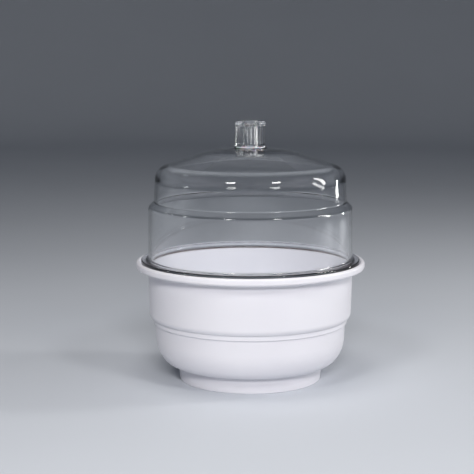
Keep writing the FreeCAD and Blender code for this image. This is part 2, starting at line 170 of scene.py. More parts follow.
def grid_quads(rows: int, columns: int, closed: bool) -> np.ndarray:
    """Corner indices of the quads of a grid that closes round its columns.

    Args:
        rows: grid rows.
        columns: grid columns; the last joins the first.
        closed: whether the last row joins the first.

    Returns:
        An array of four indices a row.
    """
    row = np.arange(rows if closed else rows - 1)[:, None]
    column = np.arange(columns)[None, :]
    next_row = (row + 1) % rows
    next_column = (column + 1) % columns
    corners = (row * columns + column, row * columns + next_column,
               next_row * columns + next_column, next_row * columns + column)
    return np.stack(corners, axis=-1).reshape(-1, 4)


def fan(pole: int, first: int, segments: int, flip: bool = False) -> np.ndarray:
    """Triangles that join a pole to a ring of points.

    Args:
        pole: index of the pole.
        first: index of the ring's first point.
        segments: points in the ring.
        flip: whether the ring is followed backwards.

    Returns:
        An array of three indices a row.
    """
    here = np.arange(segments)
    after = (here + 1) % segments
    ends = (first + after, first + here) if flip else (first + here, first + after)
    return np.column_stack((np.full(segments, pole), *ends))


def mesh_object(name: str, points: np.ndarray, quads: np.ndarray, triangles: np.ndarray,
                crease: float = math.radians(50)) -> bpy.types.Object:
    """A smooth-shaded mesh object at the origin, with its place in its mesh.

    Args:
        name: the piece's name.
        points: vertices in mm, one a row.
        quads: four vertex indices a row.
        triangles: three vertex indices a row, or an empty array.
        crease: faces that meet at more than this angle keep a sharp edge.

    Returns:
        The linked object.
    """
    mesh = bpy.data.meshes.new(name)
    mesh.vertices.add(len(points))
    mesh.vertices.foreach_set("co", (points * MM).astype(np.float32).ravel())
    loops = np.concatenate((quads.ravel(), triangles.ravel())).astype(np.int32)
    totals = np.concatenate((np.full(len(quads), 4), np.full(len(triangles), 3))).astype(np.int32)
    starts = np.concatenate(([0], np.cumsum(totals)[:-1])).astype(np.int32)
    mesh.loops.add(len(loops))
    mesh.loops.foreach_set("vertex_index", loops)
    mesh.polygons.add(len(totals))
    mesh.polygons.foreach_set("loop_start", starts)
    mesh.update(calc_edges=True)
    mesh.validate()
    mesh.shade_smooth()
    mesh.set_sharp_from_angle(angle=crease)
    piece = bpy.data.objects.new(name, mesh)
    bpy.context.scene.collection.objects.link(piece)
    return piece


def turned_piece(name: str, outline: np.ndarray, segments: int,
                 rule: Optional[RadiusRule] = None) -> bpy.types.Object:
    """A closed solid turned about Z, its faces outward.

    The outline climbs on the piece's outside and comes down on its inside. One whose ends lie on the
    axis gets a pole at each end; any other is closed on itself.

    Args:
        name: the piece's name.
        outline: (radius, height) rows, in mm.
        segments: steps round the turn.
        rule: optional change of radius, as turned_grid takes it.

    Returns:
        The linked object.
    """
    on_axis = outline[0, 0] < 1e-6 and outline[-1, 0] < 1e-6
    body = outline[1:-1] if on_axis else outline
    points = turned_grid(body, segments, rule).reshape(-1, 3)
    quads = grid_quads(len(body), segments, closed=not on_axis)
    triangles = np.empty((0, 3), int)
    if on_axis:
        poles = np.array([[0, 0, outline[0, 1]], [0, 0, outline[-1, 1]]])
        last_row = (len(body) - 1) * segments
        triangles = np.vstack((fan(len(points), 0, segments, flip=True),
                               fan(len(points) + 1, last_row, segments)))
        points = np.vstack((points, poles))
    return mesh_object(name, points, quads, triangles)


# ---------------------------------------------------------------------------------------------
# Shader helpers
# ---------------------------------------------------------------------------------------------

Socket = bpy.types.NodeSocket


class NodeTree:
    """A small helper that adds and wires the nodes of a material or a node group."""

    def __init__(self, tree: bpy.types.NodeTree) -> None:
        """Keeps the tree that nodes go into."""
        self.tree = tree

    def add(self, kind: str, settings: Optional[dict[str, object]] = None,
            **inputs: object) -> bpy.types.Node:
        """Adds a node, sets its properties and its inputs.

        Args:
            kind: Blender's type name of the node.
            settings: property names and values.
            **inputs: socket names, with underscores for spaces, and a value or a socket to link.

        Returns:
            The node.
        """
        node = self.tree.nodes.new(kind)
        for name, value in (settings or {}).items():
            setattr(node, name, value)
        for name, value in inputs.items():
            self.feed(node.inputs[name.replace("_", " ")], value)
        return node

    def feed(self, socket: Socket, value: object) -> None:
        """Links a socket to the input, or sets the input's own value."""
        if isinstance(value, bpy.types.NodeSocket):
            self.tree.links.new(value, socket)
        else:
            socket.default_value = value

    def math(self, operation: str, first: object, second: object = 0.0) -> Socket:
        """The result of a Math node on two values or sockets."""
        node = self.add("ShaderNodeMath", {"operation": operation})
        self.feed(node.inputs[0], first)
        self.feed(node.inputs[1], second)
        return node.outputs[0]

    def ramp(self, value: Socket, low: float, high: float, start: float = 0.0, end: float = 1.0) -> Socket:
        """A smooth clamp of value from low..high to start..end."""
        node = self.add("ShaderNodeMapRange", {"interpolation_type": "SMOOTHSTEP"},
                        Value=value, From_Min=low, From_Max=high, To_Min=start, To_Max=end)
        return node.outputs["Result"]

    def mix_colour(self, factor: object, first: object, second: object) -> Socket:
        """A blend of two colours."""
        node = self.add("ShaderNodeMix", {"data_type": "RGBA"})
        self.feed(node.inputs[0], factor)
        self.feed(node.inputs[6], first)
        self.feed(node.inputs[7], second)
        return node.outputs[2]

    def group(self, group: bpy.types.NodeTree, **inputs: object) -> bpy.types.Node:
        """Places a shared node group and sets its inputs."""
        node = self.add("ShaderNodeGroup", {"node_tree": group})
        for name, value in inputs.items():
            self.feed(node.inputs[name.replace("_", " ")], value)
        return node


@dataclass(frozen=True)
class SocketSpec:
    """Name, kind and default of a node group's socket."""

    name: str
    kind: str
    default: object = None


FLOAT = "NodeSocketFloat"
COLOUR = "NodeSocketColor"


def new_group(name: str, inputs: Sequence[SocketSpec],
              outputs: Sequence[SocketSpec]) -> tuple[NodeTree, bpy.types.Node, bpy.types.Node]:
    """An empty shader node group.

    Args:
        name: the group's name.
        inputs: its input sockets.
        outputs: its output sockets.

    Returns:
        The helper for its tree, the group's input node and its output node.
    """
    tree = bpy.data.node_groups.new(name, "ShaderNodeTree")
    for spec in inputs:
        socket = tree.interface.new_socket(name=spec.name, in_out="INPUT", socket_type=spec.kind)
        if spec.default is not None:
            socket.default_value = spec.default
    for spec in outputs:
        tree.interface.new_socket(name=spec.name, in_out="OUTPUT", socket_type=spec.kind)
    nodes = NodeTree(tree)
    return nodes, nodes.add("NodeGroupInput"), nodes.add("NodeGroupOutput")


def tone_drift_group() -> bpy.types.NodeTree:
    """Slow, cloudy change of tone over a moulding, as from uneven cooling.

    Returns:
        A group from Tone, Drift Tone, Amount and Scale to Color.
    """
    nodes, given, result = new_group(
        "tone_drift",
        [SocketSpec("Tone", COLOUR), SocketSpec("Drift Tone", COLOUR),
         SocketSpec("Amount", FLOAT, 0.5), SocketSpec("Scale", FLOAT, 12.0)],
        [SocketSpec("Color", COLOUR)])
    place = nodes.add("ShaderNodeTexCoord").outputs["Object"]
    cloud = nodes.add("ShaderNodeTexNoise", Vector=place, Scale=given.outputs["Scale"], Detail=3.0)
    mask = nodes.ramp(cloud.outputs["Fac"], 0.3, 0.7)
    blend = nodes.math("MULTIPLY", mask, given.outputs["Amount"])
    colour = nodes.mix_colour(blend, given.outputs["Tone"], given.outputs["Drift Tone"])
    nodes.feed(result.inputs["Color"], colour)
    return nodes.tree


def mould_skin_group() -> bpy.types.NodeTree:
    """The skin of a moulding: fine grain, faint flow waves and hair scratches.

    Returns:
        A group from Grain, Waves and Scratches (strengths) to Height and Roughness Shift.
    """
    nodes, given, result = new_group(
        "mould_skin",
        [SocketSpec("Grain", FLOAT, 0.3), SocketSpec("Waves", FLOAT, 0.5),
         SocketSpec("Scratches", FLOAT, 0.2)],
        [SocketSpec("Height", FLOAT), SocketSpec("Roughness Shift", FLOAT)])
    place = nodes.add("ShaderNodeTexCoord").outputs["Object"]
    grain = nodes.add("ShaderNodeTexNoise", Vector=place, Scale=2600.0, Detail=2.0)
    waves = nodes.add("ShaderNodeTexNoise", Vector=place, Scale=26.0, Detail=1.0)
    turned = nodes.add("ShaderNodeMapping", Vector=place)
    turned.inputs["Rotation"].default_value = (0.4, 0.9, 0.3)
    turned.inputs["Scale"].default_value = (1.0, 14.0, 3.0)
    hair = nodes.add("ShaderNodeTexNoise", Vector=turned.outputs[0], Scale=55.0, Detail=4.0)
    ridge = nodes.math("ABSOLUTE", nodes.math("SUBTRACT", hair.outputs["Fac"], 0.5))
    scratch = nodes.ramp(ridge, 0.0, 0.012, 1.0, 0.0)
    height = nodes.math("MULTIPLY", grain.outputs["Fac"], given.outputs["Grain"])
    height = nodes.math("ADD", height, nodes.math("MULTIPLY", waves.outputs["Fac"], given.outputs["Waves"]))
    scored = nodes.math("MULTIPLY", scratch, given.outputs["Scratches"])
    nodes.feed(result.inputs["Height"], nodes.math("SUBTRACT", height, scored))
    spread = nodes.math("MULTIPLY", nodes.math("SUBTRACT", waves.outputs["Fac"], 0.5), 0.16)
    dulled = nodes.math("MULTIPLY", scored, 0.3)
    nodes.feed(result.inputs["Roughness Shift"], nodes.math("ADD", spread, dulled))
    return nodes.tree


class Effects:
    """The shader node groups that materials share, each built once."""

    def __init__(self) -> None:
        """Builds the groups."""
        self.tone_drift = tone_drift_group()
        self.mould_skin = mould_skin_group()


Colour = tuple[float, float, float, float]


class Slot(Enum):
    """Material slots of the record."""

    WHITE = "white_polypropylene"
    CLEAR = "clear_polycarbonate"
    SEAL = "seal_rubber"
    WASHER = "washer_silicone"
    PLATE = "plate_polypropylene"
    GEL = "silica_gel"


def start_material(name: str) -> tuple[bpy.types.Material, NodeTree, bpy.types.Node, bpy.types.Node]:
    """A material with a Principled BSDF wired to its output.

    Args:
        name: the material's name.

    Returns:
        The material, its node helper, the shader and the output node.
    """
    material = bpy.data.materials.new(name)
    material.use_nodes = True
    material.node_tree.nodes.clear()
    nodes = NodeTree(material.node_tree)
    shader = nodes.add("ShaderNodeBsdfPrincipled")
    output = nodes.add("ShaderNodeOutputMaterial")
    nodes.tree.links.new(shader.outputs[0], output.inputs["Surface"])
    return material, nodes, shader, output


@dataclass(frozen=True)
class OpaqueMoulding:
    """Opaque moulded plastic with a slow drift of tone and a moulded skin."""

    name: str
    tone: Colour
    drift_tone: Colour
    roughness: float
    grain: float = 0.25
    waves: float = 0.6
    scratches: float = 0.15
    depth: float = 0.00006
    glow: float = 0.08

    def make(self, effects: Effects) -> bpy.types.Material:
        """Builds the material.

        Args:
            effects: the shared node groups.

        Returns:
            The material.
        """
        material, nodes, shader, _ = start_material(self.name)
        drift = nodes.group(effects.tone_drift, Tone=self.tone, Drift_Tone=self.drift_tone,
                            Amount=0.6, Scale=9.0)
        skin = nodes.group(effects.mould_skin, Grain=self.grain, Waves=self.waves, Scratches=self.scratches)
        nodes.feed(shader.inputs["Base Color"], drift.outputs["Color"])
        rough = nodes.math("ADD", skin.outputs["Roughness Shift"], self.roughness)
        nodes.feed(shader.inputs["Roughness"], rough)
        bump = nodes.add("ShaderNodeBump", Height=skin.outputs["Height"], Distance=self.depth, Strength=0.6)
        nodes.feed(shader.inputs["Normal"], bump.outputs[0])
        shader.inputs["IOR"].default_value = 1.49
        shader.inputs["Subsurface Weight"].default_value = self.glow
        shader.inputs["Subsurface Radius"].default_value = (1.0, 0.9, 0.85)
        shader.inputs["Subsurface Scale"].default_value = 0.004
        return material


@dataclass(frozen=True)
class ClearMoulding:
    """Clear moulded plastic: a refracting shader that lets light through to what is inside."""

    name: str
    tone: Colour
    shade_tone: Colour
    roughness: float = 0.02
    index: float = 1.56
    waves: float = 0.5
    scratches: float = 0.12

    def make(self, effects: Effects) -> bpy.types.Material:
        """Builds the material.

        Args:
            effects: the shared node groups.

        Returns:
            The material.
        """
        material, nodes, shader, output = start_material(self.name)
        skin = nodes.group(effects.mould_skin, Grain=0.0, Waves=self.waves, Scratches=self.scratches)
        shader.inputs["Base Color"].default_value = self.tone
        shader.inputs["IOR"].default_value = self.index
        shader.inputs["Transmission Weight"].default_value = 1.0
        shift = nodes.math("MULTIPLY", skin.outputs["Roughness Shift"], 0.1)
        nodes.feed(shader.inputs["Roughness"], nodes.math("ADD", self.roughness, shift))
        bump = nodes.add("ShaderNodeBump", Height=skin.outputs["Height"], Distance=0.00004, Strength=0.35)
        nodes.feed(shader.inputs["Normal"], bump.outputs[0])
        veil = nodes.add("ShaderNodeBsdfTransparent", Color=self.shade_tone)
        path = nodes.add("ShaderNodeLightPath")
        through = nodes.math("MAXIMUM", path.outputs["Is Shadow Ray"], path.outputs["Is Diffuse Ray"])
        blend = nodes.add("ShaderNodeMixShader")
        nodes.feed(blend.inputs[0], through)
        nodes.feed(blend.inputs[1], shader.outputs[0])
        nodes.feed(blend.inputs[2], veil.outputs[0])
        nodes.feed(output.inputs["Surface"], blend.outputs[0])
        return material


@dataclass(frozen=True)
class SealRubber:
    """Soft rubber of a seal, with a dusty bloom."""

    name: str
    tone: Colour
    bloom_tone: Colour
    roughness: float
    clearness: float = 0.0

    def make(self, effects: Effects) -> bpy.types.Material:
        """Builds the material.

        Args:
            effects: the shared node groups.

        Returns:
            The material.
        """
        material, nodes, shader, _ = start_material(self.name)
        drift = nodes.group(effects.tone_drift, Tone=self.tone, Drift_Tone=self.bloom_tone,
                            Amount=0.7, Scale=60.0)
        skin = nodes.group(effects.mould_skin, Grain=0.6, Waves=0.3, Scratches=0.0)
        nodes.feed(shader.inputs["Base Color"], drift.outputs["Color"])
        rough = nodes.math("ADD", skin.outputs["Roughness Shift"], self.roughness)
        nodes.feed(shader.inputs["Roughness"], rough)
        bump = nodes.add("ShaderNodeBump", Height=skin.outputs["Height"], Distance=0.00005, Strength=0.5)
        nodes.feed(shader.inputs["Normal"], bump.outputs[0])
        shader.inputs["Subsurface Weight"].default_value = self.clearness
        shader.inputs["Subsurface Scale"].default_value = 0.002
        return material


@dataclass(frozen=True)
class GelBeads:
    """Glassy blue beads, each of its own tone."""

    name: str
    dark_tone: Colour = (0.015, 0.035, 0.23, 1.0)
    light_tone: Colour = (0.10, 0.20, 0.58, 1.0)

    def make(self, effects: Effects) -> bpy.types.Material:
        """Builds the material; the tone of a bead comes from the mesh's bead_tone attribute.

        Args:
            effects: the shared node groups.

        Returns:
            The material.
        """
        material, nodes, shader, _ = start_material(self.name)
        tone = nodes.add("ShaderNodeAttribute", {"attribute_name": "bead_tone"})
        colour = nodes.mix_colour(tone.outputs["Fac"], self.dark_tone, self.light_tone)
        drift = nodes.group(effects.tone_drift, Tone=colour, Drift_Tone=self.light_tone,
                            Amount=0.25, Scale=700.0)
        nodes.feed(shader.inputs["Base Color"], drift.outputs["Color"])
        skin = nodes.group(effects.mould_skin, Grain=0.3, Waves=0.0, Scratches=0.0)
        nodes.feed(shader.inputs["Roughness"], nodes.math("ADD", skin.outputs["Roughness Shift"], 0.14))
        shader.inputs["IOR"].default_value = 1.46
        shader.inputs["Subsurface Weight"].default_value = 0.25
        shader.inputs["Subsurface Scale"].default_value = 0.002
        return material


# ---------------------------------------------------------------------------------------------
# Pieces
# ---------------------------------------------------------------------------------------------

def dress(piece: bpy.types.Object, material: bpy.types.Material) -> None:
    """Gives a piece its one material.

    Args:
        piece: the mesh object.
        material: the finish.
    """
    piece.data.materials.clear()
    piece.data.materials.append(material)


def seat(piece: bpy.types.Object, body: str, node: str) -> bpy.types.Object:
    """Makes a piece ride on a body in place of a CAD node, and reports it."""
    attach(piece, body)
    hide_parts(node)
    LOG.info("%s: %d vertices, rides on %s", piece.name, len(piece.data.vertices), body)
    return piece


@dataclass(frozen=True)
class SharedFits:
    """Sizes that more than one piece is made to."""

    land: float = 116.2
    ring_radius: float = 103.2
    ring_section: float = 2.6
    ring_rise: float = 1.4
    gap: float = 0.05
    pad: float = 232.4
    washer: float = 0.95
    washer_outer: float = 14.1
    boss_foot: float = 223.5

    @property
    def ring_centre(self) -> float:
        """Height of the middle of the ring's section."""
        return self.land + self.ring_rise - self.ring_section / 2

    @property
    def lid_seat(self) -> float:
        """Underside of the lid's flange."""
        return self.land + self.ring_rise + self.gap

    @property
    def washer_ceiling(self) -> float:
        """Face of the knob above the washer."""
        return self.pad + 2 * self.gap + self.washer


@dataclass(frozen=True)
class Thread:
    """Right-hand thread with straight flanks: tooth widths are the knob's."""

    pitch: float = 3.0
    crest: float = 10.4
    root: float = 8.9
    tooth_tip: float = 0.9
    tooth_foot: float = 2.0
    clearance: float = 0.2
    row_step: float = 0.2

    def offset(self, height: np.ndarray, angle: np.ndarray, start: float) -> np.ndarray:
        """Distance along Z from the nearest turn of a helix that crosses +X at the start height.

        The helix rises by its pitch a turn, so the distance is height - start - pitch * angle / 2 pi,
        wrapped into half a pitch each way.

        Args:
            height: heights of the points, in mm.
            angle: their angles round Z, in radians.
            start: height of the helix on +X.

        Returns:
            The distances, never negative.
        """
        phase = (height - start - self.pitch * angle / (2 * math.pi)) / self.pitch
        return np.abs(phase - np.round(phase)) * self.pitch

    def flank(self, distance: np.ndarray, clearance: float = 0.0) -> np.ndarray:
        """Radius of the flank at a distance along Z from the tooth's middle.

        The tooth's half width falls evenly from the root to the crest, so the radius where it equals
        the distance is root + (half foot width + clearance - distance) / slope.

        Args:
            distance: distances from the tooth's middle, as offset gives them.
            clearance: how much wider the tooth is taken, on each flank.

        Returns:
            The radii, past the root or the crest where the distance is.
        """
        slope = (self.tooth_foot - self.tooth_tip) / 2 / (self.crest - self.root)
        return self.root + (self.tooth_foot / 2 + clearance - distance) / slope


@dataclass
class Bowl:
    """White bowl: foot ring, rounded underside, two walls with a double step, flange and lip."""

    fits: SharedFits = field(default_factory=SharedFits)
    fineness: Fineness = field(default_factory=lambda: Fineness(segments=288))
    wall: float = 3.0
    edge_rounding: float = 0.6
    foot: float = 71.0
    foot_top: float = 72.0
    foot_rounding: float = 0.9
    foot_fillet: float = 1.2
    floor: float = 16.4
    heel: float = 83.4
    heel_rounding: float = 14.5
    cheek: float = 31.4
    cheek_rounding: float = 33.0
    lower_wall: float = 94.3
    lower_wall_top: float = 95.2
    step: float = 57.6
    bead: float = 97.0
    bead_top: float = 62.0
    belly: float = 101.0
    belly_height: float = 63.6
    belly_rounding: float = 6.9
    upper_wall: float = 102.1
    ledge: float = 65.4
    ledge_rounding: float = 2.6
    flange: float = 112.5
    flange_fillet: float = 3.5
    lip: float = 114.1
    lip_inner: float = 109.8
    lip_top: float = 119.8
    lip_rounding: float = 2.4
    lip_inner_rounding: float = 1.8
    groove_edge: float = 0.15
    groove_rounding: float = 0.3

    def corners(self) -> list[Corner]:
        """The outline's corners, from the axis under the floor, out, up, and back inside.

        The inside of a bend that turns by an angle t lies nearer its middle by wall * tan(t / 2).

        Returns:
            The corners in order.
        """
        turn = math.atan2(self.cheek - self.floor, self.lower_wall - self.heel)
        heel_shift = self.wall * math.tan(turn / 2)
        cheek_shift = self.wall * math.tan((math.pi / 2 - turn) / 2)
        groove_half = self.fits.ring_section / 2 + self.fits.gap
        groove_floor = self.fits.ring_centre - groove_half
        groove_outer = self.fits.ring_radius + groove_half
        groove_inner = self.fits.ring_radius - groove_half
        land = self.fits.land
        return [
            Corner(0, self.floor),
            Corner(self.foot_top - self.wall, self.floor, self.foot_fillet),
            Corner(self.foot - self.wall, 0, self.foot_rounding),
            Corner(self.foot, 0, self.foot_rounding),
            Corner(self.foot_top, self.floor, self.foot_fillet),
            Corner(self.heel, self.floor, self.heel_rounding),
            Corner(self.lower_wall, self.cheek, self.cheek_rounding),
            Corner(self.lower_wall_top, self.step, self.edge_rounding),
            Corner(self.bead, self.step, self.edge_rounding),
            Corner(self.bead, self.bead_top),
            Corner(self.belly, self.belly_height, self.belly_rounding),
            Corner(self.upper_wall, self.flange, self.flange_fillet),
            Corner(self.lip, self.flange, self.lip_rounding),
            Corner(self.lip, self.lip_top, self.lip_rounding),
            Corner(self.lip_inner, self.lip_top, self.lip_inner_rounding),
            Corner(self.lip_inner, land, self.edge_rounding),
            Corner(groove_outer, land, self.groove_edge),
            Corner(groove_outer, groove_floor, self.groove_rounding),
            Corner(groove_inner, groove_floor, self.groove_rounding),
            Corner(groove_inner, land, self.groove_edge),
            Corner(self.upper_wall - self.wall, land, self.edge_rounding),
            Corner(self.belly - self.wall, self.ledge, self.ledge_rounding),
            Corner(self.lower_wall_top - self.wall, self.ledge, self.edge_rounding),
            Corner(self.lower_wall - self.wall, self.cheek + cheek_shift, self.cheek_rounding - self.wall),
            Corner(self.heel - heel_shift, self.floor + self.wall, self.heel_rounding - self.wall),
            Corner(0, self.floor + self.wall),
        ]

    def build(self, finish: bpy.types.Material) -> bpy.types.Object:
        """Turns the bowl and seats it on the base body.

        Args:
            finish: the bowl's material.

        Returns:
            The piece.
        """
        outline = rounded_outline(self.corners(), self.fineness, closed=False)
        piece = turned_piece("white_bowl", outline, self.fineness.segments)
        dress(piece, finish)
        return seat(piece, "base", "base_bowl")


@dataclass
class SealRing:
    """O-ring in the bowl's groove, thinned a little on its inner and outer sides."""

    fits: SharedFits = field(default_factory=SharedFits)
    thinning: float = 0.04
    section_points: int = 28
    segments: int = 256

    def build(self, finish: bpy.types.Material) -> bpy.types.Object:
        """Makes the ring: a circle of radius s carried round Z at radius R.

        The point at angles a and t is at radius R + s cos a and height z + s sin a, where s is less
        by the thinning times the square of cos a.

        Args:
            finish: the ring's material.

        Returns:
            The piece.
        """
        around = np.linspace(0, 2 * math.pi, self.section_points, endpoint=False)
        section = self.fits.ring_section / 2 - self.thinning * np.cos(around) ** 2
        outline = np.column_stack((self.fits.ring_radius + section * np.cos(around),
                                   self.fits.ring_centre + section * np.sin(around)))
        piece = turned_piece("seal_ring", outline, self.segments)
        dress(piece, finish)
        return seat(piece, "seal", "sealing_ring")


@dataclass
class Lid:
    """Clear lid: flange, lower wall, sloped ledge, upper wall, roof and threaded boss."""

    fits: SharedFits = field(default_factory=SharedFits)
    thread: Thread = field(default_factory=Thread)
    fineness: Fineness = field(default_factory=lambda: Fineness(segments=256))
    wall: float = 3.0
    edge_rounding: float = 0.6
    flange: float = 109.2
    flange_thickness: float = 4.0
    flange_rounding: float = 1.2
    foot: float = 101.9
    foot_fillet: float = 2.5
    foot_inner_rounding: float = 2.8
    ledge: float = 101.4
    ledge_height: float = 173.5
    ledge_rounding: float = 4.5
    ledge_drop: float = 1.17
    neck: float = 95.9
    neck_height: float = 179.2
    neck_rounding: float = 1.8
    shoulder: float = 94.3
    shoulder_height: float = 211.4
    shoulder_drop: float = 2.19
    shoulder_rounding: float = 13.5
    shoulder_inner_rounding: float = 17.0
    roof: float = 38.8
    roof_height: float = 229.7
    roof_rounding: float = 73.0
    roof_inset: float = 0.6
    pad: float = 16.2
    pad_rounding: float = 0.3
    pad_slope_width: float = 0.6
    pad_slope_drop: float = 0.75
    boss: float = 14.7
    boss_drop: float = 1.05
    boss_fillet: float = 1.2
    bore: float = 9.2
    bore_root: float = 10.8
    bore_margin: float = 0.3
    groove_start: float = 0.25
    tolerance: float = 0.01

    def corners(self) -> list[Corner]:
        """The outline's corners, from the pad outwards, down to the flange and back inside.

        Returns:
            The corners in order.
        """
        seat_height = self.fits.lid_seat
        flange_top = seat_height + self.flange_thickness
        return [
            Corner(self.pad, self.fits.pad, self.pad_rounding),
            Corner(self.pad + self.pad_slope_width, self.fits.pad - self.pad_slope_drop, self.edge_rounding),
            Corner(self.roof, self.roof_height, self.roof_rounding),
            Corner(self.shoulder, self.shoulder_height, self.shoulder_rounding),
            Corner(self.neck, self.neck_height, self.neck_rounding),
            Corner(self.ledge, self.ledge_height, self.ledge_rounding),
            Corner(self.foot, flange_top, self.foot_fillet),
            Corner(self.flange, flange_top, self.flange_rounding),
            Corner(self.flange, seat_height, self.edge_rounding),
            Corner(self.foot - self.wall, seat_height, self.foot_inner_rounding),
            Corner(self.ledge - self.wall, self.ledge_height - self.ledge_drop,
                   self.ledge_rounding - self.wall),
            Corner(self.neck - self.wall, self.neck_height - self.ledge_drop, self.neck_rounding),
            Corner(self.shoulder - self.wall, self.shoulder_height - self.shoulder_drop,
                   self.shoulder_inner_rounding),
            Corner(self.roof - self.roof_inset, self.roof_height - self.wall,
                   self.roof_rounding - self.wall),
            Corner(self.boss, self.roof_height - self.boss_drop, self.boss_fillet),
            Corner(self.boss, self.fits.boss_foot, self.edge_rounding),
            Corner(self.bore, self.fits.boss_foot),
        ]

    def bore_outline(self) -> np.ndarray:
        """The bore from its foot to the pad, divided finely enough for the thread.

        Returns:
            (radius, height) rows, up to the chamfer at the pad.
        """
        foot = self.fits.boss_foot + self.bore_margin
        top = self.fits.pad - self.bore_margin
        heights = np.arange(foot, top, self.thread.row_step)
        wall = np.column_stack((np.full(len(heights), self.bore), heights))
        return np.vstack((wall, [[self.bore, top], [self.bore + self.bore_margin, self.fits.pad]]))

    def cut_thread(self, radius: np.ndarray, height: np.ndarray, angle: np.ndarray) -> np.ndarray:
        """Radius of the bore with the thread's groove cut in it.

        A groove's half width at radius r is the knob's half tooth plus the clearance, so at a
        distance d from the groove's middle the wall stands at the radius whose half width is d.

        Args:
            radius: radii of the grid's points.
            height: their heights.
            angle: their angles.

        Returns:
            The new radii.
        """
        distance = self.thread.offset(height, angle, self.fits.boss_foot - self.thread.pitch)
        wall = self.thread.flank(distance, self.thread.clearance)
        on_bore = (radius < self.bore + self.tolerance) & (height > self.fits.boss_foot + self.groove_start)
        return np.where(on_bore, np.clip(wall, self.bore, self.bore_root), radius)

    def build(self, finish: bpy.types.Material) -> bpy.types.Object:
        """Turns the lid and seats it on the lid body.

        Args:
            finish: the lid's material.

        Returns:
            The piece.
        """
        shell = rounded_outline(self.corners(), self.fineness, closed=False)
        outline = np.vstack((shell, self.bore_outline()))
        piece = turned_piece("clear_lid", outline[::-1], self.fineness.segments, self.cut_thread)
        dress(piece, finish)
        return seat(piece, "lid", "lid_dome")


